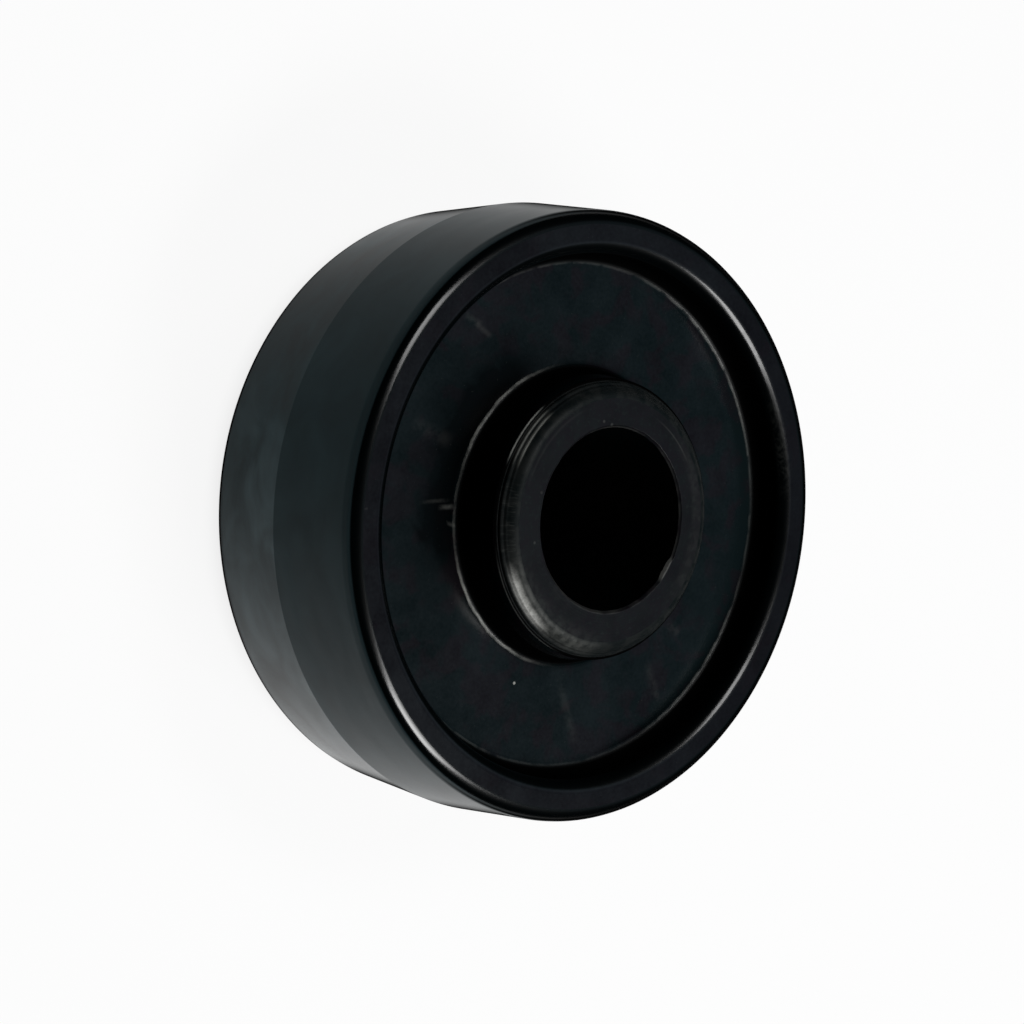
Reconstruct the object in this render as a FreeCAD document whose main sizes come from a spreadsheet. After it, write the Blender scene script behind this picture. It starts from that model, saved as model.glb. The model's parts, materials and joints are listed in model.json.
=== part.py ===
"""Moulded nylon roller with a plain bore, as a parametric document in millimetres.

The roller is one piece: a rim whose tread tapers both ways from the mould's parting line, a web set back from both
rim faces, and a hub that stands proud of the rim at each end. Its axis is Z and the parting line lies in the XY
plane, so the origin is the middle of the bore. One half is drawn, turned and rounded, then mirrored.
"""
import FreeCAD, Part
import math
import os
import Sketcher

SIZES = [
    ("tread_diameter", 51.0, "across the parting line, where the tread is widest"),
    ("tread_width", 18.5, "between the two rim faces"),
    ("tread_draft", 4.0, "degrees, from the parting line to each rim face"),
    ("tread_edge_radius", 1.2, "rounding where the tread meets a rim face"),
    ("rim_thickness", 3.4, "of the rim, measured on its face"),
    ("rim_lip_radius", 1.1, "rounding where a rim face turns into the recess"),
    ("recess_depth", 3.2, "from a rim face down to the web"),
    ("recess_draft", 1.5, "degrees, of the recess wall inside the rim"),
    ("recess_root_radius", 1.0, "fillet between the recess wall and the web"),
    ("hub_diameter", 22.9, "of the hub's side, at the foot of its bevel"),
    ("hub_draft", 8.5, "degrees, of the hub's side"),
    ("hub_root_radius", 0.6, "fillet between the hub's side and the web"),
    ("hub_proud", 1.75, "how far each hub end stands out of its rim face"),
    ("bevel_width", 1.2, "of the bevel round each hub end, along the radius"),
    ("bevel_drop", 1.25, "of the bevel round each hub end, along the axis"),
    ("bevel_foot_radius", 0.15, "rounding where the bevel meets the hub's side"),
    ("bevel_top_radius", 0.9, "rounding where the bevel meets the hub's end"),
    ("bore_diameter", 15.0, "for the axle"),
    ("bore_edge_break", 0.2, "chamfer at each mouth of the bore"),
]

# Sides of the half section, each from one named corner to another
LINES = [
    ("bore_wall", "bore_middle", "bore_mouth"),
    ("hub_face", "bore_mouth", "bevel_top"),
    ("hub_bevel", "bevel_top", "bevel_foot"),
    ("hub_side", "hub_root", "bevel_foot"),
    ("web_face", "hub_root", "recess_root"),
    ("recess_wall", "recess_root", "rim_lip"),
    ("rim_face", "rim_lip", "tread_edge"),
    ("tread", "parting_line", "tread_edge"),
    ("middle_plane", "bore_middle", "parting_line"),
]
LEVEL_LINES = ["hub_face", "web_face", "rim_face", "middle_plane"]
ORIGIN = (-1, 1)
LEVEL_AXIS = -1

# Distances between two corners, or from the origin to one, and what each follows
DISTANCES = [
    ("bore_radius", "DistanceX", None, "bore_middle", "Sizes.bore_diameter / 2"),
    ("parting_radius", "DistanceX", None, "parting_line", "Sizes.tread_diameter / 2"),
    ("half_width", "DistanceY", None, "tread_edge", "Sizes.tread_width / 2"),
    ("rim_wall", "DistanceX", "rim_lip", "tread_edge", "Sizes.rim_thickness"),
    ("recess", "DistanceY", "recess_root", "rim_lip", "Sizes.recess_depth"),
    ("hub_stand", "DistanceY", "tread_edge", "bore_mouth", "Sizes.hub_proud"),
    ("hub_radius", "DistanceX", None, "bevel_foot", "Sizes.hub_diameter / 2"),
    ("bevel_along_radius", "DistanceX", "bevel_top", "bevel_foot", "Sizes.bevel_width"),
    ("bevel_along_axis", "DistanceY", "bevel_foot", "bevel_top", "Sizes.bevel_drop"),
]

# Slopes of the drafted sides, measured from the radius
SLOPES = [
    ("tread_slope", "tread", "(90 + Sizes.tread_draft) * 1 deg"),
    ("recess_slope", "recess_wall", "(90 - Sizes.recess_draft) * 1 deg"),
    ("hub_slope", "hub_side", "(90 + Sizes.hub_draft) * 1 deg"),
]

# Corners that are rounded once the half is turned, and the size of each rounding
ROUNDED_CORNERS = [
    ("tread_edge", "tread_edge_radius"),
    ("rim_lip", "rim_lip_radius"),
    ("recess_root", "recess_root_radius"),
    ("hub_root", "hub_root_radius"),
    ("bevel_foot", "bevel_foot_radius"),
    ("bevel_top", "bevel_top_radius"),
]


def write_sizes(doc):
    """Put the driving dimensions into a sheet, each under its own name."""
    sheet = doc.addObject("Spreadsheet::Sheet", "Sizes")
    for row, (alias, value, note) in enumerate(SIZES, start=1):
        sheet.set(f"A{row}", note)
        sheet.set(f"B{row}", str(value))
        sheet.setAlias(f"B{row}", alias)
    doc.recompute()
    return sheet


def section_corners(sheet):
    """Radius and height of each corner of the half section."""

    def taper(height, draft):
        return height * math.tan(math.radians(draft))

    rim_height = sheet.tread_width / 2
    web_height = rim_height - sheet.recess_depth
    end_height = rim_height + sheet.hub_proud
    foot_height = end_height - sheet.bevel_drop
    bore_radius = sheet.bore_diameter / 2
    hub_radius = sheet.hub_diameter / 2
    edge_radius = sheet.tread_diameter / 2 - taper(rim_height, sheet.tread_draft)
    lip_radius = edge_radius - sheet.rim_thickness
    return {
        "bore_middle": (bore_radius, 0),
        "bore_mouth": (bore_radius, end_height),
        "bevel_top": (hub_radius - sheet.bevel_width, end_height),
        "bevel_foot": (hub_radius, foot_height),
        "hub_root": (hub_radius + taper(foot_height - web_height, sheet.hub_draft), web_height),
        "recess_root": (lip_radius - taper(sheet.recess_depth, sheet.recess_draft), web_height),
        "rim_lip": (lip_radius, rim_height),
        "tread_edge": (edge_radius, rim_height),
        "parting_line": (sheet.tread_diameter / 2, 0),
    }


def origin_plane(body, role):
    """The body's own reference plane of that role."""
    return next(plane for plane in body.Origin.OriginFeatures if plane.Role == role)


def bind(sketch, constraint, name, rule):
    """Add a dimension under its own name and tie it to the sheet."""
    sketch.renameConstraint(sketch.addConstraint(constraint), name)
    sketch.setExpression(f"Constraints.{name}", rule)


def draw_section(body, corners):
    """Half of the roller's section, from the middle plane up, beside the axis."""
    sketch = body.newObject("Sketcher::SketchObject", "half_section")
    sketch.AttachmentSupport = [(origin_plane(body, "XZ_Plane"), "")]
    sketch.MapMode = "FlatFace"

    sides = {}
    ends = {}
    for name, start, finish in LINES:
        points = [FreeCAD.Vector(*corners[corner], 0) for corner in (start, finish)]
        sides[name] = sketch.addGeometry(Part.LineSegment(*points), False)
        for place, corner in enumerate((start, finish), start=1):
            ends.setdefault(corner, []).append((sides[name], place))

    for first, second in ends.values():
        sketch.addConstraint(Sketcher.Constraint("Coincident", *first, *second))
    for name in LEVEL_LINES:
        sketch.addConstraint(Sketcher.Constraint("Horizontal", sides[name]))
    sketch.addConstraint(Sketcher.Constraint("Vertical", sides["bore_wall"]))
    sketch.addConstraint(Sketcher.Constraint("PointOnObject", *ends["bore_middle"][0], LEVEL_AXIS))

    for name, kind, start, finish, rule in DISTANCES:
        along = 0 if kind == "DistanceX" else 1
        start_end = ends[start][0] if start else ORIGIN
        start_place = corners[start][along] if start else 0
        distance = corners[finish][along] - start_place
        bind(sketch, Sketcher.Constraint(kind, *start_end, *ends[finish][0], distance), name, rule)
    for name, side, rule in SLOPES:
        start, finish = next(line[1:] for line in LINES if line[0] == side)
        run = corners[finish][0] - corners[start][0]
        rise = corners[finish][1] - corners[start][1]
        bind(sketch, Sketcher.Constraint("Angle", sides[side], math.atan2(rise, run)), name, rule)
    return sketch


def ring_at(shape, corner):
    """Name of the circular edge that a corner of the section leaves on the turned shape."""
    radius, height = corner
    for number, edge in enumerate(shape.Edges, start=1):
        round_edge = isinstance(edge.Curve, Part.Circle)
        if round_edge and math.isclose(edge.Curve.Radius, radius, abs_tol=1e-5):
            if math.isclose(edge.Curve.Center.z, height, abs_tol=1e-5):
                return f"Edge{number}"
    raise RuntimeError(f"no ring of radius {radius} at height {height}")


def dress(body, kind, corner, size_property, rule):
    """Round or chamfer the ring at one corner of what the body holds so far."""
    base = body.Tip
    feature = body.newObject(kind, rule)
    feature.Base = (base, [ring_at(base.Shape, corner)])
    feature.setExpression(size_property, f"Sizes.{rule}")
    body.Document.recompute()
    return feature


def make_roller(doc, sheet):
    """The whole roller: half of it turned and rounded, then mirrored at the parting line."""
    corners = section_corners(sheet)
    body = doc.addObject("PartDesign::Body", "Roller")
    body.Label = "roller"
    section = draw_section(body, corners)

    turned = body.newObject("PartDesign::Revolution", "turned_half")
    turned.Profile = section
    turned.ReferenceAxis = (section, ["V_Axis"])
    turned.Angle = 360
    doc.recompute()

    for corner, rule in ROUNDED_CORNERS:
        dress(body, "PartDesign::Fillet", corners[corner], "Radius", rule)
    half = dress(body, "PartDesign::Chamfer", corners["bore_mouth"], "Size", "bore_edge_break")

    whole = body.newObject("PartDesign::Mirrored", "both_halves")
    whole.TransformMode = "Whole shape"
    whole.MirrorPlane = (origin_plane(body, "XY_Plane"), [""])
    body.Tip = whole
    doc.recompute()
    if not math.isclose(whole.Shape.Volume, 2 * half.Shape.Volume, rel_tol=1e-6):
        raise RuntimeError("the mirror did not double the half")
    return body


def write_parts(doc, parts):
    """Check every object of the document, then write each sub-part to its own file."""
    for item in doc.Objects:
        if "Invalid" in item.State or "Error" in item.State:
            raise RuntimeError(f"{item.Label} did not recompute: {item.State}")
    os.makedirs("parts", exist_ok=True)
    for part in parts:
        if part.Shape.isNull() or not part.Shape.isValid():
            raise RuntimeError(f"{part.Label} has no valid shape")
        part.Shape.exportStep(f"parts/{part.Label}.step")
        print(f"{part.Label}: {len(part.Shape.Solids)} solid, {part.Shape.Volume / 1000:.2f} cubic cm")


document = FreeCAD.newDocument("nylon_roller")
write_parts(document, [make_roller(document, write_sizes(document))])
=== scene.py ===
"""Looks of a moulded black nylon roller, laid out as an add-on and run as a script.

The roller stands on a hub end with its axis along Z. One finely turned mesh, drawn from the roller's own
sizes, stands for the plain solid and carries the marks of moulding, turning and handling. Shapes are in
metres. In the finishes, places on the surface are in millimetres and turns round the axis in degrees.
"""
import json
import math
from typing import NamedTuple

import bpy
from bpy.props import FloatProperty, FloatVectorProperty, IntProperty, PointerProperty
from mathutils import Matrix, Vector, noise


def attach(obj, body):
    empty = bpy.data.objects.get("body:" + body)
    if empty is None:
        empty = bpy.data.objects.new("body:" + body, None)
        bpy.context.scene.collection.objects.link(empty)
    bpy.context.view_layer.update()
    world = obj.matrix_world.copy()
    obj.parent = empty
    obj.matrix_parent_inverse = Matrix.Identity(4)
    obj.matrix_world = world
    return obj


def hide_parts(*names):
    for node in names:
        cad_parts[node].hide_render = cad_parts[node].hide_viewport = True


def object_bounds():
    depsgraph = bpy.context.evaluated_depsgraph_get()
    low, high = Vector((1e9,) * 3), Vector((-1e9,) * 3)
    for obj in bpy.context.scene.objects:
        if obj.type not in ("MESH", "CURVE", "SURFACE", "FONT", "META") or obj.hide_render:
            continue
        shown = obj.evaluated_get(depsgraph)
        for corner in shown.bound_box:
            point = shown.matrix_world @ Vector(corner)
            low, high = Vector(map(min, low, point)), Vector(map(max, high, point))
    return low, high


bl_info = {
    "name": "Nylon roller",
    "version": (1, 0, 0),
    "blender": (4, 5, 0),
    "location": "3D View > Sidebar > Roller",
    "description": "Dresses a moulded nylon roller in its finish and sets its stage",
    "category": "Object",
}

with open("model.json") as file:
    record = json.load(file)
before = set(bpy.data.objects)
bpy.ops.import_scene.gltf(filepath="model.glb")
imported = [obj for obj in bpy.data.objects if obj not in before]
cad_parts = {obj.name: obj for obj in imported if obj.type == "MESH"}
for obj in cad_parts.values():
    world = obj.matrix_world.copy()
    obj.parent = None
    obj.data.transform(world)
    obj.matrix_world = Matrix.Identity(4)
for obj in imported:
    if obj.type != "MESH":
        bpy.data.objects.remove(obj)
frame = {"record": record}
CAD_LOW, CAD_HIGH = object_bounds()
BORE = next(mount for mount in frame["record"]["mounts"] if mount["name"] == "bore")
MM = 0.001


def length(name, description, millimetres):
    """A size that a user may change, shown in Blender's own unit of length."""
    size = millimetres * MM
    return FloatProperty(name=name, description=description, default=size, unit="LENGTH", precision=5)


def angle(name, description, degrees):
    """An angle that a user may change."""
    return FloatProperty(name=name, description=description, default=math.radians(degrees), subtype="ANGLE")


def share(name, description, value):
    """A plain number that a user may change."""
    return FloatProperty(name=name, description=description, default=value, min=0.0)


def colour(name, description, value):
    """A colour that a user may change."""
    return FloatVectorProperty(name=name, description=description, default=value, subtype="COLOR", size=3)


class RollerSizes(bpy.types.PropertyGroup):
    """Sizes of the moulding."""

    tread_diameter: length("Tread diameter", "Across the parting line", (CAD_HIGH.y - CAD_LOW.y) / MM)
    hub_length: length("Hub length", "Between the two hub ends", (CAD_HIGH.z - CAD_LOW.z) / MM)
    bore_diameter: length("Bore diameter", "Of the hole for the axle", 2 * BORE["dims"]["r_mm"])
    tread_width: length("Tread width", "Between the two rim faces", 18.5)
    tread_draft: angle("Tread draft", "Slope from the parting line to each rim face", 4)
    tread_edge_radius: length("Tread edge", "Rounding between tread and rim face", 1.2)
    rim_thickness: length("Rim thickness", "Measured on the rim's face", 3.4)
    rim_lip_radius: length("Rim lip", "Rounding between rim face and recess", 1.1)
    recess_depth: length("Recess depth", "From a rim face down to the web", 3.2)
    recess_draft: angle("Recess draft", "Slope of the recess wall", 1.5)
    recess_root_radius: length("Recess root", "Fillet between recess wall and web", 1.0)
    hub_diameter: length("Hub diameter", "At the foot of the hub's bevel", 22.9)
    hub_draft: angle("Hub draft", "Slope of the hub's side", 8.5)
    hub_root_radius: length("Hub root", "Fillet between hub and web", 0.6)
    bevel_width: length("Bevel width", "Of the hub's bevel, along the radius", 1.2)
    bevel_drop: length("Bevel drop", "Of the hub's bevel, along the axis", 1.25)
    bevel_foot_radius: length("Bevel foot", "Rounding between bevel and hub side", 0.15)
    bevel_top_radius: length("Bevel top", "Rounding between bevel and hub end", 0.9)
    bore_edge_break: length("Bore edge break", "Chamfer at the bore's mouths", 0.2)
    burr: length("Burr", "How far the burr at the bore's upper mouth reaches inward", 0.22)
    mouth_drag: length("Mouth drag", "How far one side of the bore's upper mouth is drawn inward", 0.18)
    segments: IntProperty(name="Segments", description="Steps round the axis", default=360, min=64)


class NylonFinish(bpy.types.PropertyGroup):
    """Colours and gloss of the nylon."""

    nylon: colour("Nylon", "Colour of the bare nylon", (0.0004, 0.0010, 0.0012))
    film: colour("Film", "Thin film on the flat faces", (0.0010, 0.0034, 0.0040))
    bloom: colour("Bloom", "Cast of the clouded places in the film", (0.0036, 0.0024, 0.0038))
    turned: colour("Turned", "Colour of the turned hub ends", (0.0048, 0.0036, 0.0054))
    bevelled: colour("Bevelled", "Colour of the hub's bevels", (0.0094, 0.0112, 0.0112))
    # Tread film: partly real dirt, partly painted sheen.
    dust_and_sheen: colour("Dust", "Fine dust that dulls the tread", (0.0180, 0.0600, 0.0720))
    edge_dust: colour("Edge dust", "Dust where the tread rounds over", (0.0200, 0.0330, 0.0370))
    # Also the colour of painted highlights on the hub's end and bevel, along the hub's root and along the
    # web's edge.
    pale_marks: colour("Scuffed", "Colour of rubbed places", (0.330, 0.335, 0.310))
    # Partly rubbed nylon and partly a painted highlight on the bevel.
    worn_glint: colour("Worn", "Colour where the bevel is worn bright", (0.620, 0.620, 0.590))
    # Painted shade: a near-black put where the nylon is seen edge-on, on the recess wall and hub side, at
    # the bevel's foot and on stretches of the tread.
    shade: colour("Shade", "Colour of places that are seen edge-on", (0.001, 0.001, 0.001))
    face_gloss: share("Face gloss", "Strength of the reflections on the faces", 0.05)
    face_polish: share("Face polish", "Share of clear gloss on the faces", 0.30)
    turned_gloss: share("Turned gloss", "Strength of the reflections on the turned hub ends", 0.13)
    bevel_gloss: share("Bevel gloss", "Strength of the reflections on the hub's bevels", 0.07)
    tread_gloss: share("Tread gloss", "Strength of the reflections on the tread", 0.045)
    bore_gloss: share("Bore gloss", "Strength of the reflections in the bore", 0.03)
    roughness: share("Roughness", "Of the moulded faces", 0.22)


class RollerStage(bpy.types.PropertyGroup):
    """Floor, lamps and camera."""

    floor: colour("Floor", "Colour of the floor", (0.85, 0.85, 0.85))
    floor_shown: share("Floor shown", "Share of plain white in the open floor that is seen", 0.92)
    sky: colour("Sky", "Soft cool light high on the right", (0.21, 0.29, 0.34))
    dusk: colour("Dusk", "Light of the dark surroundings", (0.004, 0.004, 0.004))
    lamp_power: FloatProperty(name="Lamp power", description="Of the soft lamps", default=0.75, unit="POWER")
    view_azimuth: angle("View azimuth", "Where the camera stands round the roller", -95.74)
    view_elevation: angle("View elevation", "How high the camera stands", 49.57)
    view_distance: length("View distance", "From the roller's middle to the camera", 217.6)
    view_right: length("Aim right", "How far the camera aims beside the roller's middle", -1.035)
    view_up: length("Aim up", "How far the camera aims above the roller's middle", -0.243)
    view_lens: FloatProperty(name="Lens", description="Focal length", default=91.41, unit="CAMERA")


# Shader expressions


class Graph:
    """A node tree that is built from expressions."""

    def __init__(self, owner):
        owner.use_nodes = True
        self.tree = owner.node_tree
        self.tree.nodes.clear()

    def node(self, kind, settings=None, inputs=None):
        """Add a node: its settings first, then the values or links of its sockets."""
        made = self.tree.nodes.new(kind)
        for name, value in (settings or {}).items():
            setattr(made, name, value)
        for name, value in (inputs or {}).items():
            self.feed(made.inputs[name], value)
        return made

    def feed(self, socket, value):
        """Link a socket to what varies, or set it to what doesn't."""
        source = value.socket if isinstance(value, Value) else value
        if isinstance(source, bpy.types.NodeSocket):
            self.tree.links.new(source, socket)
        elif socket.type == "RGBA":
            socket.default_value = (*source, 1)
        else:
            socket.default_value = source

    def value(self, socket):
        """A socket as a number for expressions."""
        return Value(self, socket)

    def places(self):
        """The point on the surface, as a vector in metres and as its three parts in millimetres."""
        point = self.node("ShaderNodeTexCoord").outputs["Object"]
        parts = self.node("ShaderNodeSeparateXYZ", inputs={"Vector": point}).outputs
        return point, [self.value(part) / MM for part in parts]

    def polar(self, x, y):
        """How far a point lies from the axis, and its turn round it, from 0 to 360 degrees."""
        radius = (x * x + y * y).root()
        turn = x.apply("ARCTAN2", 0 - y, 0 - x) + math.pi
        return radius, turn * math.degrees(1)

    def ring_place(self, x, y, radius, reach, across):
        """A place for noise that follows a ring of one reach round the axis, and a length across it."""
        inputs = {"X": x / radius * (reach * MM), "Y": y / radius * (reach * MM), "Z": across * MM}
        return self.node("ShaderNodeCombineXYZ", inputs=inputs).outputs[0]

    def noise(self, point, grain, detail=2.0, distortion=0.0, stretch=(1, 1, 1)):
        """Smooth noise from 0 to 1 whose features are about as long as the grain, in millimetres."""
        stretched = self.node("ShaderNodeVectorMath", {"operation": "MULTIPLY"}, {0: point, 1: stretch})
        made = self.node("ShaderNodeTexNoise", inputs={
            "Vector": stretched.outputs[0], "Scale": 1 / (grain * MM),
            "Detail": detail, "Distortion": distortion})
        return self.value(made.outputs["Fac"])

    def turned_away(self):
        """0 where the surface faces the view, 1 where it is seen edge-on."""
        weight = self.node("ShaderNodeLayerWeight", inputs={"Blend": 0.5})
        return self.value(weight.outputs["Facing"])

    def blend(self, amount, first, second):
        """A colour between two."""
        made = self.node("ShaderNodeMix", {"data_type": "RGBA"}, {0: amount, 6: first, 7: second})
        return made.outputs[2]

    def bump(self, height, distance):
        """Normals of a surface that rises by its height times the distance, in millimetres."""
        inputs = {"Height": height, "Distance": distance * MM}
        return self.node("ShaderNodeBump", inputs=inputs).outputs["Normal"]

    def finish(self, shader):
        """Make a shader the material's surface."""
        self.node("ShaderNodeOutputMaterial", inputs={"Surface": shader})


class Value:
    """A number that varies over a surface: arithmetic on it adds Math nodes."""

    def __init__(self, graph, socket):
        self.graph = graph
        self.socket = socket

    def apply(self, operation, *terms):
        """The result of a Math node."""
        made = self.graph.node("ShaderNodeMath", {"operation": operation}, dict(enumerate(terms)))
        return Value(self.graph, made.outputs[0])

    def __add__(self, other):
        return self.apply("ADD", self, other)

    def __sub__(self, other):
        return self.apply("SUBTRACT", self, other)

    def __rsub__(self, other):
        return self.apply("SUBTRACT", other, self)

    def __mul__(self, other):
        return self.apply("MULTIPLY", self, other)

    def __truediv__(self, other):
        return self.apply("DIVIDE", self, other)

    def __rtruediv__(self, other):
        return self.apply("DIVIDE", other, self)

    def __abs__(self):
        return self.apply("ABSOLUTE", self)

    __radd__ = __add__
    __rmul__ = __mul__

    def root(self):
        """The square root."""
        return self.apply("SQRT", self)

    def sine(self):
        """The sine of an angle in radians."""
        return self.apply("SINE", self)

    def most(self, other):
        """The greater of two numbers."""
        return self.apply("MAXIMUM", self, other)

    def least(self, other):
        """The lesser of two numbers."""
        return self.apply("MINIMUM", self, other)

    def between(self, low, high, soft):
        """1 between two marks and 0 outside, with soft ends."""
        return self.ramp(low - soft, low + soft) * self.ramp(high + soft, high - soft)

    def near(self, place, reach):
        """1 at a place, falling to 0 at its reach on either side."""
        return abs(self - place).ramp(reach, 0)

    def ramp(self, low, high):
        """0 below the low mark, 1 above the high one and smooth between; the marks may run downwards."""
        inputs = {"Value": self, "From Min": low, "From Max": high}
        made = self.graph.node("ShaderNodeMapRange", {"interpolation_type": "SMOOTHSTEP"}, inputs)
        return Value(self.graph, made.outputs["Result"])


# The turned mesh


class Section(NamedTuple):
    """Radii and heights of the sides of the upper half."""

    bore: float
    mouth: float
    bevel_top: float
    hub: float
    hub_root: float
    recess_root: float
    lip: float
    edge: float
    crest: float
    end: float
    foot: float
    rim: float
    web: float


class Corner(NamedTuple):
    """A corner of the half section, its rounding, and the finish and rings of the side that follows it."""

    radius: float
    height: float
    rounding: float
    finish: str
    pitch: float


class ToolMark(NamedTuple):
    """A turned mark on the hub's bevel: share of the way down it, and its rise in millimetres."""

    way: float
    lift: float


BEVEL_TOOL_MARKS = [
    ToolMark(0.36, -0.005),
    ToolMark(0.43, 0.015),
    ToolMark(0.49, -0.01),
    ToolMark(0.55, -0.03),
    ToolMark(0.61, 0.0),
    ToolMark(0.67, 0.015),
    ToolMark(0.72, -0.01),
    ToolMark(0.81, -0.14),
    ToolMark(0.89, -0.01),
    ToolMark(0.94, 0.015),
]
ARC_STEP = math.radians(12)
RING_GAP = 0.05 * MM
SHARP_ROUNDING = 0.05 * MM
TOOL_ROUNDING = 0.02 * MM
BURR_DEPTH = 1.2 * MM
MOUTH_FADES = (1.1 * MM, 0.25 * MM)
RAGGED_EDGE = 0.03 * MM
# Turns round the bore's mouth
BURR_TURN = 327.5
BURR_FADES = (9, 4)
DRAG_STARTS = (205, 250)
DRAG_ENDS = (335, 300)


def section_of(sizes):
    """Where the sides of the upper half lie."""
    bore = sizes.bore_diameter / 2
    hub = sizes.hub_diameter / 2
    crest = sizes.tread_diameter / 2
    end = sizes.hub_length / 2
    foot = end - sizes.bevel_drop
    rim = sizes.tread_width / 2
    web = rim - sizes.recess_depth
    edge = crest - rim * math.tan(sizes.tread_draft)
    lip = edge - sizes.rim_thickness
    return Section(
        bore=bore, mouth=bore + sizes.bore_edge_break, bevel_top=hub - sizes.bevel_width, hub=hub,
        hub_root=hub + (foot - web) * math.tan(sizes.hub_draft),
        recess_root=lip - sizes.recess_depth * math.tan(sizes.recess_draft),
        lip=lip, edge=edge, crest=crest, end=end, foot=foot, rim=rim, web=web)


def bevel_marks(section):
    """Corners of the fine turned marks down the hub's bevel."""
    top = Vector((section.bevel_top, section.end))
    bevel = Vector((section.hub, section.foot)) - top
    outward = Vector((-bevel.y, bevel.x)).normalized()
    corners = []
    for mark in BEVEL_TOOL_MARKS:
        place = top + bevel * mark.way + outward * mark.lift * MM
        corners.append(Corner(place.x, place.y, TOOL_ROUNDING, "hub_bevel", 0.1 * MM))
    return corners


def half_section(sizes, section):
    """Corners of the upper half, from the middle of the bore to the crest of the tread."""
    bore_edge = section.end - sizes.bore_edge_break
    return [
        Corner(section.bore, 0, 0, "bore", 3 * MM),
        Corner(section.bore, section.end - BURR_DEPTH, 0, "bore", 0.25 * MM),
        Corner(section.bore, bore_edge, SHARP_ROUNDING, "hub_face", 0.1 * MM),
        Corner(section.mouth, section.end, SHARP_ROUNDING, "hub_face", 0.7 * MM),
        Corner(section.bevel_top, section.end, sizes.bevel_top_radius, "hub_bevel", 0.2 * MM),
        *bevel_marks(section),
        Corner(section.hub, section.foot, sizes.bevel_foot_radius, "side", 1.5 * MM),
        Corner(section.hub_root, section.web, sizes.hub_root_radius, "side", 2 * MM),
        Corner(section.recess_root, section.web, sizes.recess_root_radius, "side", 1.5 * MM),
        Corner(section.lip, section.rim, sizes.rim_lip_radius, "side", 1 * MM),
        Corner(section.edge, section.rim, sizes.tread_edge_radius, "tread", 2.5 * MM),
        Corner(section.crest, 0, 0, "tread", 2.5 * MM),
    ]


def round_off(before, corner, after, rounding):
    """Points of the arc that rounds a corner between its two neighbours."""
    back = (before - corner).normalized()
    onward = (after - corner).normalized()
    half = back.angle(onward) / 2
    centre = corner + (back + onward).normalized() * rounding / math.sin(half)
    start = corner + back * rounding / math.tan(half) - centre
    turn = math.copysign(math.pi - 2 * half, -back.cross(onward))
    steps = math.ceil(abs(turn) / ARC_STEP)
    return [centre + Matrix.Rotation(turn * step / steps, 2) @ start for step in range(steps + 1)]


def spread(span, pitch):
    """Shares of the way along a side where rings lie: close to its ends, and evenly between."""
    if span < 4 * RING_GAP:
        return []
    steps = max(1, math.ceil(span / pitch))
    evenly = [step / steps for step in range(1, steps)]
    inner = [way for way in evenly if RING_GAP < way * span < span - RING_GAP]
    return [RING_GAP / span] + inner + [1 - RING_GAP / span]


def outline(corners):
    """Rings of the upper half in order: points of the section, each with the finish of what follows."""
    points = [Vector((corner.radius, corner.height)) for corner in corners]
    rounded = []
    for number, corner in enumerate(corners):
        if corner.rounding:
            rounded.append(round_off(*points[number - 1:number + 2], corner.rounding))
        else:
            rounded.append([points[number]])
    rings = []
    for number, corner in enumerate(corners):
        rings += [(point, corner.finish) for point in rounded[number]]
        if number + 1 < len(corners):
            start = rounded[number][-1]
            run = rounded[number + 1][0] - start
            rings += [(start + run * way, corner.finish) for way in spread(run.length, corner.pitch)]
    return rings


def rise(value, low, high):
    """0 at the low mark, 1 at the high one, smooth between; the marks may run downwards."""
    way = min(1.0, max(0.0, (value - low) / (high - low)))
    return way * way * (3 - 2 * way)


def burr(sizes, section, point, turn):
    """How far the ragged upper mouth of the bore reaches inward at a point."""
    hold = rise(section.end - point.y, *MOUTH_FADES)
    if not hold or point.x > section.mouth + sizes.bore_edge_break:
        return 0.0
    degrees = math.degrees(turn)
    around = Vector((math.cos(turn), math.sin(turn), 0))
    tongue = rise(abs(degrees - BURR_TURN), *BURR_FADES) * (0.85 + noise.noise(around * 30) * 0.3)
    drawn = rise(degrees, *DRAG_STARTS) * rise(degrees, *DRAG_ENDS)
    ragged = noise.noise(around * 9) * RAGGED_EDGE
    return hold * (sizes.burr * tongue + sizes.mouth_drag * drawn + ragged)


def turned_mesh(name, sizes, section):
    """The whole roller, turned from its outline and mirrored at the parting line."""
    upper = outline(half_section(sizes, section))
    lower = [(Vector((point.x, -point.y)), finish) for point, finish in reversed(upper[1:-1])]
    finishes = [finish for _, finish in upper[:-1]]
    finishes += list(reversed(finishes))
    rings = [point for point, _ in upper + lower]
    count = sizes.segments
    vertices = []
    for point in rings:
        for step in range(count):
            turn = math.tau * step / count
            radius = point.x - burr(sizes, section, point, turn)
            vertices.append((radius * math.cos(turn), radius * math.sin(turn), point.y))
    faces = []
    for ring in range(len(rings)):
        following = (ring + 1) % len(rings)
        for step in range(count):
            beside = (step + 1) % count
            faces.append((ring * count + step, following * count + step,
                          following * count + beside, ring * count + beside))
    mesh = bpy.data.meshes.new(name)
    mesh.from_pydata(vertices, [], faces)
    order = list(FINISH_MAKERS)
    slots = [order.index(finish) for finish in finishes for _ in range(count)]
    mesh.polygons.foreach_set("material_index", slots)
    mesh.shade_smooth()
    mesh.validate()
    crest = len(upper) - 1
    for edge in mesh.edges:
        if all(number // count == crest for number in edge.vertices):
            edge.use_edge_sharp = True
    mesh.update()
    return mesh


# Marks of use


class Arc(NamedTuple):
    """A span of turn round the axis: its two ends and how soft they are."""

    low: float
    high: float
    soft: float


class Scuff(NamedTuple):
    """A rub or scratch across a face: where it starts and ends, how wide it is and how strong."""

    turn: float
    radius: float
    end_turn: float
    end_radius: float
    width: float
    strength: float


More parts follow.
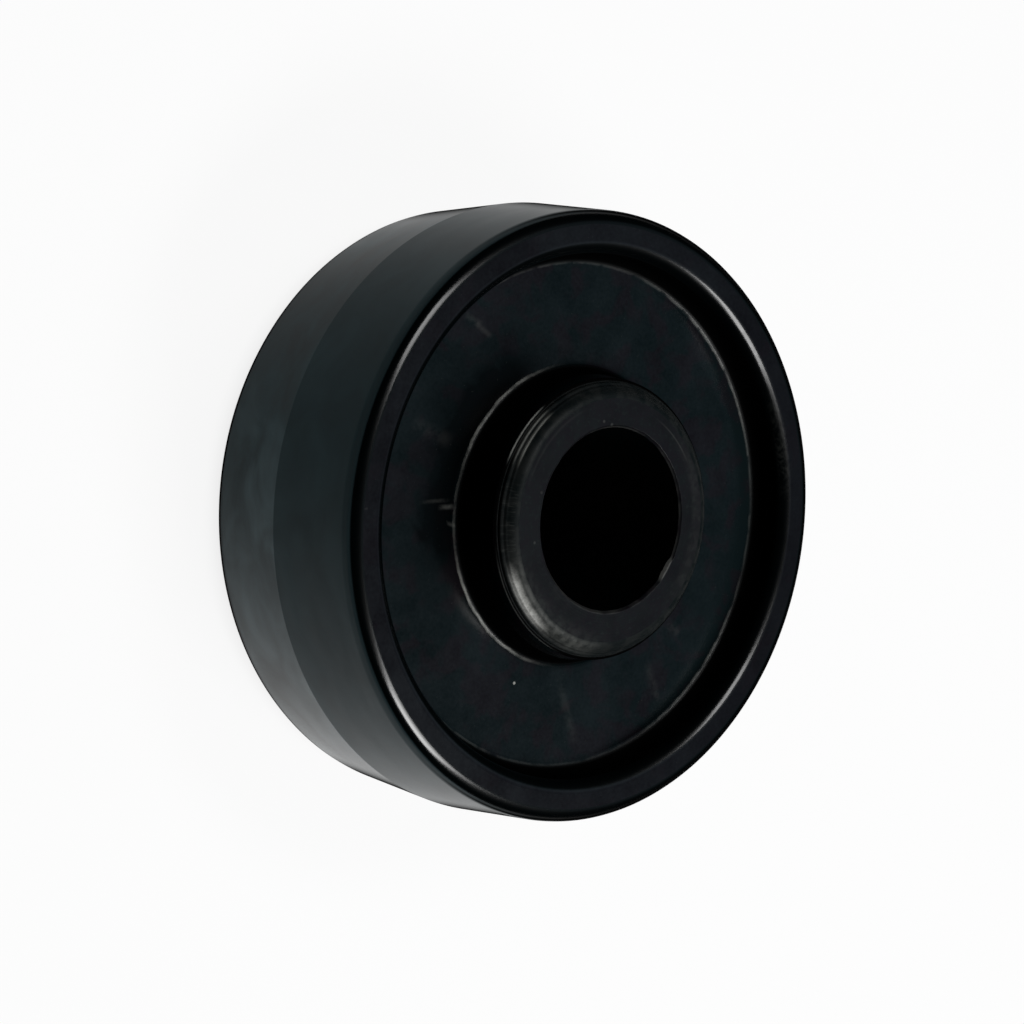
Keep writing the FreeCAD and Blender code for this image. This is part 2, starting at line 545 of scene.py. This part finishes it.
class HubShade(NamedTuple):
    """A painted shade beside the hub, where the hub's dark reflection falls on the web: its span of turn,
    and how far out it starts to fade and ends.
    """

    arc: Arc
    fades: float
    ends: float
    strength: float


class Fleck(NamedTuple):
    """A small pale speck."""

    turn: float
    radius: float
    strength: float


SCUFFS = [
    Scuff(128.6, 20.4, 125.2, 18.4, 0.50, 0.045),
    Scuff(127.0, 19.2, 124.0, 17.0, 0.40, 0.040),
    Scuff(157.5, 19.0, 156.0, 14.0, 1.00, 0.018),
    Scuff(276.0, 19.4, 268.0, 13.0, 0.70, 0.026),
    Scuff(304.0, 19.8, 307.0, 15.4, 0.65, 0.026),
    Scuff(322.0, 16.6, 321.0, 14.6, 0.65, 0.026),
    Scuff(176.6, 12.2, 177.6, 14.2, 0.30, 0.120),
    Scuff(174.6, 12.8, 176.6, 16.4, 0.24, 0.040),
    Scuff(184.0, 12.2, 182.4, 13.2, 0.26, 0.090),
    Scuff(178.0, 23.3, 178.2, 24.0, 0.14, 0.030),
]
SCUFF_FADES = (0.12, 0.88, 0.12)
HUB_SHADES = [
    HubShade(Arc(118, 162, 18), 1.4, 4.4, 1.0),
    HubShade(Arc(175, 192, 9), 1.4, 5.0, 1.0),
    HubShade(Arc(118, 200, 26), 2.0, 8.5, 0.8),
]
WEB_FLECK = Fleck(249, 14.6, 0.9)
HUB_FLECKS = [
    Fleck(101, 8.10, 0.08),
    Fleck(95, 7.75, 0.08),
    Fleck(164, 8.05, 0.05),
    Fleck(192, 8.35, 0.07),
]
FLECK_CORE = 0.06
FLECK_REACH = 0.17
# Marks on the hub's end: painted highlights in two rings, on its margin at one side and by the bore, and a
# burr
FACE_THIN_GLINT = Arc(34, 58, 9)
FACE_BROAD_GLINT = Arc(116, 158, 8)
FACE_MARGIN_GLINT = Arc(205, 262, 16)
FACE_GLINT_BY_BORE = Arc(222, 236, 8)
FACE_BURR = Arc(319, 336, 2)
# Marks on the hub's bevel: a rubbed patch that is partly painted highlight, painted highlights round it and
# on its ridges and foot, and scratch ticks
BEVEL_WORN_GLINT = Arc(204, 231, 7)
BEVEL_DIM_GLINT = Arc(200, 262, 14)
BEVEL_RIDGE_GLINTS = Arc(131, 154, 5)
BEVEL_FOOT_GLINT = Arc(196, 246, 8)
BEVEL_TICKS = Arc(166, 196, 6)
# Painted highlights along the hub's root, partly pale flash, and along the web's edge, and rubs on the rim's
# lip
HUB_ROOT_FLASH_AND_GLINT = Arc(104, 258, 8)
HUB_ROOT_GLINTS = (Arc(116, 156, 12), Arc(203, 244, 13))
WEB_EDGE_GLINT_GAP = Arc(120, 222, 9)
WEB_EDGE_GLINTS = (Arc(24, 60, 16), Arc(302, 334, 14))
LIP_CHAFED = Arc(8, 26, 6)
# Stretches of the tread: high on the left, a brighter gloss line at the edge, and painted shade low down
TREAD_UPPER_LEFT = Arc(55, 155, 15)
TREAD_EDGE_BRIGHT = Arc(208, 242, 14)
TREAD_SHADE = (Arc(128, 168, 16), Arc(244, 268, 12))


def arcs(turn, *spans):
    """1 within the spans of turn."""
    total = 0
    for arc in spans:
        total = turn.between(*arc) + total
    return total


def pale_marks(radius, turn):
    """How strongly the scuffs show at a place."""
    total = 0
    for mark in SCUFFS:
        way = (radius - mark.radius) / (mark.end_radius - mark.radius)
        middle = way * (mark.end_turn - mark.turn) + mark.turn
        aside = abs(turn - middle) * math.radians(1) * radius
        total = aside.ramp(mark.width, 0) * way.between(*SCUFF_FADES) * mark.strength + total
    return total


def hub_shaded(from_hub, turn):
    """How strongly the painted shade beside the hub shows at a place."""
    total = 0
    for mark in HUB_SHADES:
        total = turn.between(*mark.arc) * from_hub.ramp(mark.ends, mark.fades) * mark.strength + total
    return total


def flecked(graph, point, height, *flecks):
    """How strongly small specks on a face of one height show at a place."""
    total = 0
    for mark in flecks:
        turn = math.radians(mark.turn)
        place = Vector((mark.radius * math.cos(turn), mark.radius * math.sin(turn), height)) * MM
        apart = graph.node("ShaderNodeVectorMath", {"operation": "DISTANCE"}, {0: point, 1: place})
        distance = graph.value(apart.outputs["Value"]) / MM
        total = distance.ramp(FLECK_REACH, FLECK_CORE) * mark.strength + total
    return total


# Finishes

NYLON_IOR = 1.53
# Between these facings the nylon turns into painted shade, to at most the share below.
EDGE_ON = (0.86, 0.97)
MOST_PAINTED_SHADE = 0.985
# Depth of the grain on each kind of surface
BORE_GRAIN = 0.004
TURNED_GRAIN = 0.001
BEVEL_GRAIN = 0.003
MOULDED_GRAIN = 0.002
# Rings that the noise of bevel and tread follows
BEVEL_RING = 11
TREAD_RING = 25
TURNING_PITCH = 0.24


def nylon_shader(graph, look, inputs, painted_shade_share=0.0):
    """Black nylon, mixed towards a near-black painted shade where it turns edge-on and wherever a finish
    asks for it.
    """
    satin = graph.node("ShaderNodeBsdfPrincipled", inputs={"IOR": NYLON_IOR, **inputs}).outputs[0]
    # The painted shade: a near-black diffuse that replaces the nylon.
    dull = graph.node("ShaderNodeBsdfDiffuse", inputs={"Color": look.shade}).outputs[0]
    painted_shade_amount = graph.turned_away().ramp(*EDGE_ON).most(painted_shade_share) * MOST_PAINTED_SHADE
    mixed = graph.node("ShaderNodeMixShader", inputs={0: painted_shade_amount, 1: satin, 2: dull})
    graph.finish(mixed.outputs[0])


def bore_finish(graph, look, section):
    """The bore: dull black with faint drag lines."""
    point, _ = graph.places()
    drag = graph.noise(point, 0.4, 3, 0.0, (1, 1, 0.1))
    nylon_shader(graph, look, {
        "Base Color": look.nylon, "Roughness": 0.6 + (drag - 0.5) * 0.2,
        "Normal": graph.bump(drag, BORE_GRAIN), "Specular IOR Level": look.bore_gloss})


def hub_face_finish(graph, look, section):
    """Flat hub ends: turned, with flecks, painted highlights in two rings and on one side, and round the
    bore a pale line that is partly burr and partly painted highlight.
    """
    point, (x, y, z) = graph.places()
    radius, turn = graph.polar(x, y)
    from_mouth = radius - section.mouth
    shown = z.ramp(0, 1)
    cloud = graph.noise(point, 1.5, 4)
    wander = graph.noise(point, 2)
    ragged = graph.noise(point, 0.3, 4, 0.4)
    blotch = graph.noise(point, 0.6, 4, 0.3).ramp(0.38, 0.62)
    rings = (radius * (math.tau / TURNING_PITCH) + wander * 3).sine()

    # Painted highlights in two rings, on the margin at one side and by the bore, a ring lighter towards +X,
    # and flecks.
    wear_and_glints = from_mouth.near(1.58, 0.12) * arcs(turn, FACE_THIN_GLINT) * 0.05
    wear_and_glints = wear_and_glints + from_mouth.near(1.80, 0.18) * arcs(turn, FACE_BROAD_GLINT) * 0.018
    wear_and_glints = wear_and_glints + from_mouth.ramp(0.9, 2.2) * arcs(turn, FACE_MARGIN_GLINT) * (0.3 + blotch) * 0.03
    wear_and_glints = wear_and_glints + from_mouth.ramp(1.0, 0.0) * arcs(turn, FACE_GLINT_BY_BORE) * blotch * 0.02
    wear_and_glints = wear_and_glints + from_mouth.between(1.2, 2.2, 0.3) * x.ramp(5.5, 8.6) * (0.4 + blotch * 0.6) * 0.024
    wear_and_glints = wear_and_glints + ragged.ramp(0.5, 0.8) * 0.016 + flecked(graph, point, section.end, *HUB_FLECKS)
    # Round the bore: a pale line that is partly burr and partly painted highlight, strongest at the burr.
    mouth = wander.ramp(0.35, 0.6) * 0.06 + arcs(turn, FACE_BURR) * 0.14
    wear_and_glints = wear_and_glints + from_mouth.ramp(-0.04, -0.14) * mouth

    mottle = cloud.ramp(0.42, 0.62) * 0.35 + ragged.ramp(0.40, 0.65) * 0.45
    base = graph.blend(mottle, look.turned, look.film)
    base = graph.blend(wander.ramp(0.42, 0.66) * 0.4, base, look.nylon)
    base = graph.blend(wear_and_glints * shown, base, look.pale_marks)
    nylon_shader(graph, look, {
        "Base Color": base, "Roughness": 0.34 + (cloud - 0.5) * 0.2,
        "Normal": graph.bump(rings + ragged, TURNED_GRAIN), "Specular IOR Level": look.turned_gloss})


def hub_bevel_finish(graph, look, section):
    """The bevel round a hub end: painted highlights on its ridges, a rubbed bright patch that is partly
    painted highlight, and painted shade at its foot.
    """
    point, (x, y, z) = graph.places()
    radius, turn = graph.polar(x, y)
    way = (radius - section.bevel_top) / (section.hub - section.bevel_top)
    shown = z.ramp(0, 1)
    around = graph.ring_place(x, y, radius, BEVEL_RING, radius)
    streaks = graph.noise(around, 0.5, 4, 0.3, (0.5, 0.5, 2.5))
    ticks = graph.noise(around, 0.3, 3, 0.2, (2, 2, 0.4))
    cloud = graph.noise(point, 1.2, 4, 0.4)
    grain = graph.noise(point, 0.16, 3)
    blotch = graph.noise(point, 0.6, 4, 0.3).ramp(0.28, 0.72)

    # A rubbed bright patch that is partly painted highlight, its dimmer painted tail, and painted highlights
    # on the ridges and foot; the ticks are scratches.
    bright = way.between(0.20, 0.52, 0.16) * arcs(turn, BEVEL_WORN_GLINT)
    bright = bright * (0.15 + blotch * 0.3 + grain * 0.9)
    dim = way.between(-0.3, 0.56, 0.26) * arcs(turn, BEVEL_DIM_GLINT)
    dim = dim * (blotch * 0.7 + grain * 0.5) * 0.19
    ridges = way.near(0.94, 0.08) + way.near(0.67, 0.09) + way.near(0.43, 0.10)
    ridges = ridges * arcs(turn, BEVEL_RIDGE_GLINTS) * (0.3 + streaks) * 0.7
    ridges = ridges + way.near(0.94, 0.07) * arcs(turn, BEVEL_FOOT_GLINT) * 0.10
    ticked = way.between(0.0, 0.70, 0.1) * arcs(turn, BEVEL_TICKS) * ticks.ramp(0.5, 0.66) * 0.05
    wear_and_glints = dim + ridges + ticked

    base = graph.blend(cloud.ramp(0.42, 0.6) * 0.7, look.bevelled, look.film)
    base = graph.blend((wear_and_glints * shown).least(1), base, look.pale_marks)
    base = graph.blend((bright * shown).least(1), base, look.worn_glint)
    # Painted shade at the bevel's foot, left off where highlights and ticks are painted.
    painted_foot_shade = way.ramp(0.76, 0.84) * (1 - wear_and_glints * 8).most(0)
    nylon_shader(graph, look, {
        "Base Color": base, "Roughness": 0.38 + way.ramp(-0.3, 0.4) * 0.2 + (grain - 0.5) * 0.2,
        "Normal": graph.bump(streaks + grain, BEVEL_GRAIN),
        "Specular IOR Level": look.bevel_gloss}, painted_foot_shade)


def side_finish(graph, look, section):
    """Web, rim faces and hub side: satin black with a patchy bloom, rubs and a speck, painted shade beside
    the hub and on the recess wall, and painted highlights along the hub's root and the web's edge.
    """
    point, (x, y, z) = graph.places()
    radius, turn = graph.polar(x, y)
    from_hub = radius - section.hub_root
    from_wall = section.recess_root - radius
    from_lip = radius - section.lip
    above_web = abs(z) - section.web
    below_rim = section.rim - abs(z)
    shown = z.ramp(0, 1)
    flat = above_web.ramp(0.08, 0.02) + below_rim.ramp(0.07, 0.015)
    rim = from_lip.ramp(0.15, 0.75)
    high_on_lip = below_rim.ramp(0.85, 0.45)

    patch = graph.noise(point, 1.3, 4, 0.5)
    broad = graph.noise(point, 6, 2)
    fine = graph.noise(point, 0.3, 3)
    grain = graph.noise(point, 0.12, 2)
    soft = graph.noise(point, 2.0, 3, 0.6)
    cloud = graph.noise(point, 2.6, 4, 0.4).ramp(0.46, 0.60)

    # Painted shade beside the hub: a darker base and less gloss where the hub's dark reflection falls.
    hub_shade = hub_shaded(from_hub + (soft - 0.5) * 3, turn) * (0.6 + patch * 0.6)
    hub_shade = hub_shade.least(1) * from_hub.ramp(0.4, 0.9) * shown
    scuffs = pale_marks(radius, turn) * (patch * 0.8 + fine * 0.2).ramp(0.32, 0.62)
    scuffs = scuffs + flecked(graph, point, section.web, WEB_FLECK)
    # Painted highlight along the hub's root fillet, partly pale flash, brightest in two spans.
    hub_root_flash_and_glint = (from_hub + (soft - 0.5) * 0.3).between(0.34, 0.56, 0.07) * above_web.ramp(1.05, 0.65)
    hub_root_flash_and_glint = hub_root_flash_and_glint * (patch * 0.7 + fine * 0.3).ramp(0.22, 0.62)
    hub_root_flash_and_glint = hub_root_flash_and_glint * (arcs(turn, *HUB_ROOT_GLINTS) * 0.60 + arcs(turn, HUB_ROOT_FLASH_AND_GLINT) * 0.12)
    # Painted highlight along the web's edge at the foot of the recess wall, brightest in two spans and
    # missing in one.
    web_edge_glint = (from_wall - (patch - 0.5) * 0.2).between(0.66, 0.84, 0.07) * above_web.ramp(0.85, 0.45)
    web_edge_glint = web_edge_glint * (1 - arcs(turn, WEB_EDGE_GLINT_GAP)) * patch.ramp(0.25, 0.6)
    web_edge_glint = web_edge_glint * (arcs(turn, *WEB_EDGE_GLINTS) * 0.25 + 0.07)
    chafed = from_lip.between(0.05, 0.95, 0.2) * high_on_lip * arcs(turn, LIP_CHAFED)
    chafed = chafed * (patch * 0.5 + fine * 0.5).ramp(0.45, 0.6) * 0.025
    specks = graph.noise(point, 0.22, 1).ramp(0.74, 0.80) * flat * 0.02

    dusty = x.ramp(9, 16) * from_wall.ramp(2.96, 2.06) * (1 - rim) * 0.12
    film = graph.blend(cloud.most(rim * 0.8), look.film, look.bloom)
    film = graph.blend(dusty, film, look.edge_dust)
    base = graph.blend(flat * (1 - hub_shade * 0.9), look.nylon, film)
    base = graph.blend((scuffs + hub_root_flash_and_glint + web_edge_glint + chafed + specks) * shown, base, look.pale_marks)
    wall = above_web.between(0.05, 2.25, 0.03) * 0.9
    roughness = look.roughness + (patch - 0.5) * 0.08 + scuffs * shown * 0.4 + wall * 0.3
    polish = look.face_polish + (patch - 0.5) * 0.30 + (broad - 0.5) * 0.7 + (fine - 0.5) * 0.40
    polish = polish.most(0) * (1 - hub_shade) * (1 - wall) * from_hub.ramp(0.3, 0.8)
    polish = polish * (1 - rim * x.ramp(8, 20) * 0.4)
    polish = polish + from_lip.between(-0.05, 0.90, 0.12) * high_on_lip * 0.40
    # Painted shade: the recess wall and the hub's side are mixed towards near-black.
    painted_shade_share = above_web.between(0.12, 2.3, 0.05) * 0.9
    nylon_shader(graph, look, {
        "Base Color": base, "Roughness": roughness, "Normal": graph.bump(grain, MOULDED_GRAIN),
        "Coat Weight": polish, "Coat Roughness": 0.20,
        "Specular IOR Level": look.face_gloss}, painted_shade_share)


def tread_finish(graph, look, section):
    """The tread: a thin uneven film, partly dirt and partly painted sheen, heavier on the lower half, with
    clear gloss at its edges and painted shade at its rounded rim and low down.
    """
    point, (x, y, z) = graph.places()
    radius, turn = graph.polar(x, y)
    inside = section.edge - radius
    lower = z.ramp(0.1, -0.1)
    edge = inside.ramp(0.126, 0.266)
    upper_left = arcs(turn, TREAD_UPPER_LEFT)
    low_left = turn.ramp(160, 228) * turn.ramp(335, 290) * (1 - turn.ramp(235, 285) * 0.65)
    lowest = turn.ramp(232, 262)
    around = graph.ring_place(x, y, radius, TREAD_RING, z)
    cloud = graph.noise(around, 4, 4, 0.8, (0.7, 0.7, 1))
    streak = graph.noise(around, 1.4, 3, 0.4, (0.25, 0.25, 1))
    grain = graph.noise(point, 0.10, 2)

    # Film of dirt and painted sheen: heavier on the lower half and towards -X, and thinner high on the left,
    # which stands for painted shade there.
    film = 0.40 + (cloud - 0.5) * 0.4
    film = lower * (0.15 - upper_left * 0.10 + (cloud - 0.5) * 0.7 + (streak - 0.5) * 0.3) + film
    film = film * (0.25 + x.ramp(14, -6) * 0.75)
    flecks = graph.noise(around, 0.3, 1).ramp(0.75, 0.82) * streak.ramp(0.5, 0.7) * 0.06
    base = graph.blend(film.most(0).least(1), look.nylon, look.dust_and_sheen)
    base = graph.blend(flecks, base, look.pale_marks)
    base = graph.blend(inside.ramp(-0.084, 0.066), base, look.edge_dust)
    base = graph.blend(edge, base, look.nylon)
    roughness = look.roughness + 0.08 * (1 - edge) + (streak - 0.5) * 0.08

    polish = 0.26 + lowest * 0.04 + lower * (0.18 - lowest * 0.26) + (streak - 0.5) * 0.25
    polish = low_left * polish + (cloud - 0.5) * (0.08 + lower * 0.25) - upper_left * lower * 0.06
    polish = polish.most(0) * (1 - edge) + edge * look.face_polish
    edge_line = 0.2 + arcs(turn, TREAD_EDGE_BRIGHT) * 0.3
    polish = polish + inside.between(0.496, 0.866, 0.10) * edge_line
    # Painted shade at the tread's rounded rim where it is seen edge-on, and on two stretches of the lower
    # half.
    outer_shade = inside.ramp(-0.084, 0.046).most(lower * inside.ramp(-0.104, -0.054))
    tread_shade = lower * arcs(turn, *TREAD_SHADE) * 0.2
    painted_shade_share = (graph.turned_away().ramp(0.40, 0.62) * outer_shade).most(tread_shade)
    nylon_shader(graph, look, {
        "Base Color": base, "Roughness": roughness, "Normal": graph.bump(grain, MOULDED_GRAIN),
        "Coat Weight": polish.least(1), "Coat Roughness": 0.16,
        "Specular IOR Level": look.tread_gloss}, painted_shade_share)


FINISH_MAKERS = {
    "bore": bore_finish,
    "hub_face": hub_face_finish,
    "hub_bevel": hub_bevel_finish,
    "side": side_finish,
    "tread": tread_finish,
}


class ROLLER_OT_moulding(bpy.types.Operator):
    """Turn the roller's mesh, give it its finishes and let it stand for the plain solid"""

    bl_idname = "roller.moulding"
    bl_label = "Roller moulding"

    def execute(self, context):
        sizes = context.scene.roller_sizes
        section = section_of(sizes)
        mesh = turned_mesh("moulding", sizes, section)
        section_in_mm = Section(*(place / MM for place in section))
        for finish, dress in FINISH_MAKERS.items():
            material = bpy.data.materials.new(f"{finish}_nylon")
            dress(Graph(material), context.scene.roller_finish, section_in_mm)
            mesh.materials.append(material)
        piece = bpy.data.objects.new("moulding", mesh)
        context.scene.collection.objects.link(piece)
        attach(piece, "root")
        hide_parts("roller")
        return {"FINISHED"}


# The stage

FLOOR_REACH = 3.0
SKY_TOWARDS = Vector((0.65, -0.03, 0.76))
WHITE = (1, 1, 1)


def make_floor(stage):
    """A pale floor that shows white where nothing shades it."""
    mesh = bpy.data.meshes.new("floor")
    square = ((-1, -1), (1, -1), (1, 1), (-1, 1))
    corners = [(x * FLOOR_REACH, y * FLOOR_REACH, CAD_LOW.z) for x, y in square]
    mesh.from_pydata(corners, [], [(0, 1, 2, 3)])
    material = bpy.data.materials.new("floor")
    graph = Graph(material)
    rays = graph.node("ShaderNodeLightPath").outputs
    seen = graph.value(rays["Is Camera Ray"]).most(graph.value(rays["Is Glossy Ray"]))
    seen = seen.most(graph.value(rays["Is Transmission Ray"]))
    lit = graph.node("ShaderNodeBsdfDiffuse", inputs={"Color": stage.floor}).outputs[0]
    white = graph.node("ShaderNodeEmission", inputs={"Color": WHITE, "Strength": 1.0}).outputs[0]
    _, (x, y, _) = graph.places()
    radius, _ = graph.polar(x, y)
    open_floor = radius.ramp(16, 25) * stage.floor_shown
    mixed = graph.node("ShaderNodeMixShader", inputs={0: seen * open_floor, 1: lit, 2: white})
    graph.finish(mixed.outputs[0])
    mesh.materials.append(material)
    floor = bpy.data.objects.new("floor", mesh)
    bpy.context.scene.collection.objects.link(floor)


def make_lamp(name, place, along, size, power):
    """A soft lamp, longest in the direction along, that faces the roller."""
    data = bpy.data.lights.new(name, "AREA")
    data.shape = "RECTANGLE"
    data.size, data.size_y = size
    data.energy = power
    lamp = bpy.data.objects.new(name, data)
    back = Vector(place).normalized()
    across = back.cross(Vector(along)).normalized()
    axes = Matrix((across.cross(back), across, back)).transposed().to_4x4()
    lamp.matrix_world = Matrix.Translation(place) @ axes
    bpy.context.scene.collection.objects.link(lamp)


def make_camera(stage):
    """A camera at the photograph's angle, turned so that the roller's axis points to the right."""
    across = math.cos(stage.view_elevation)
    back = Vector((math.sin(stage.view_azimuth) * across, -math.cos(stage.view_azimuth) * across,
                   math.sin(stage.view_elevation)))
    up = back.cross(Vector((1, 0, 0))).normalized()
    right = up.cross(back)
    aim = right * stage.view_right + up * stage.view_up
    data = bpy.data.cameras.new("camera")
    data.lens = stage.view_lens
    data.clip_start = 10 * MM
    camera = bpy.data.objects.new("camera", data)
    axes = Matrix((right, up, back)).transposed().to_4x4()
    camera.matrix_world = Matrix.Translation(aim + back * stage.view_distance) @ axes
    bpy.context.scene.collection.objects.link(camera)
    bpy.context.scene.camera = camera


def make_world(stage):
    """Dark surroundings with a soft cool light high on the right, and plain white behind the floor."""
    world = bpy.data.worlds.new("surroundings")
    graph = Graph(world)
    towards = graph.node("ShaderNodeTexCoord").outputs["Generated"]
    facing = graph.node("ShaderNodeVectorMath", {"operation": "DOT_PRODUCT"}, {0: towards, 1: SKY_TOWARDS})
    glow = graph.blend(graph.value(facing.outputs["Value"]).ramp(0.89, 0.98), stage.dusk, stage.sky)
    seen = graph.node("ShaderNodeLightPath").outputs["Is Camera Ray"]
    shown = graph.blend(seen, glow, WHITE)
    light = graph.node("ShaderNodeBackground", inputs={"Color": shown, "Strength": 1.0})
    graph.node("ShaderNodeOutputWorld", inputs={"Surface": light.outputs[0]})
    bpy.context.scene.world = world


class ROLLER_OT_stage(bpy.types.Operator):
    """Lay the floor, hang the lamps and place the camera"""

    bl_idname = "roller.stage"
    bl_label = "Stage"

    def execute(self, context):
        stage = context.scene.roller_stage
        make_floor(stage)
        make_lamp("lamp_above", place=(0.076, 0.132, 0.370), along=(-0.78, 0.63, 0), size=(0.18, 0.085),
                  power=stage.lamp_power * 0.7)
        make_lamp("lamp_below", place=(0.095, -0.190, 0.339), along=(-0.74, -0.67, 0), size=(0.20, 0.10),
                  power=stage.lamp_power * 1.4)
        make_world(stage)
        make_camera(stage)
        context.scene.view_settings.view_transform = "Standard"
        return {"FINISHED"}


class ROLLER_PT_panel(bpy.types.Panel):
    """The roller's sizes, finish and stage"""

    bl_label = "Nylon roller"
    bl_idname = "ROLLER_PT_panel"
    bl_space_type = "VIEW_3D"
    bl_region_type = "UI"
    bl_category = "Roller"

    def draw(self, context):
        for group in SETTINGS:
            settings = getattr(context.scene, group)
            for name in settings.__annotations__:
                self.layout.prop(settings, name)
        for operator in (ROLLER_OT_moulding, ROLLER_OT_stage):
            self.layout.operator(operator.bl_idname)


SETTINGS = {"roller_sizes": RollerSizes, "roller_finish": NylonFinish, "roller_stage": RollerStage}
CLASSES = [*SETTINGS.values(), ROLLER_OT_moulding, ROLLER_OT_stage, ROLLER_PT_panel]


def register():
    """Make the settings, operators and panel known to Blender."""
    for item in CLASSES:
        bpy.utils.register_class(item)
    for name, group in SETTINGS.items():
        setattr(bpy.types.Scene, name, PointerProperty(type=group))


def unregister():
    """Take the settings, operators and panel out of Blender."""
    for name in SETTINGS:
        delattr(bpy.types.Scene, name)
    for item in reversed(CLASSES):
        bpy.utils.unregister_class(item)


def main():
    """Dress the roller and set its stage."""
    register()
    bpy.ops.roller.moulding()
    bpy.ops.roller.stage()


if __name__ == "__main__":
    main()
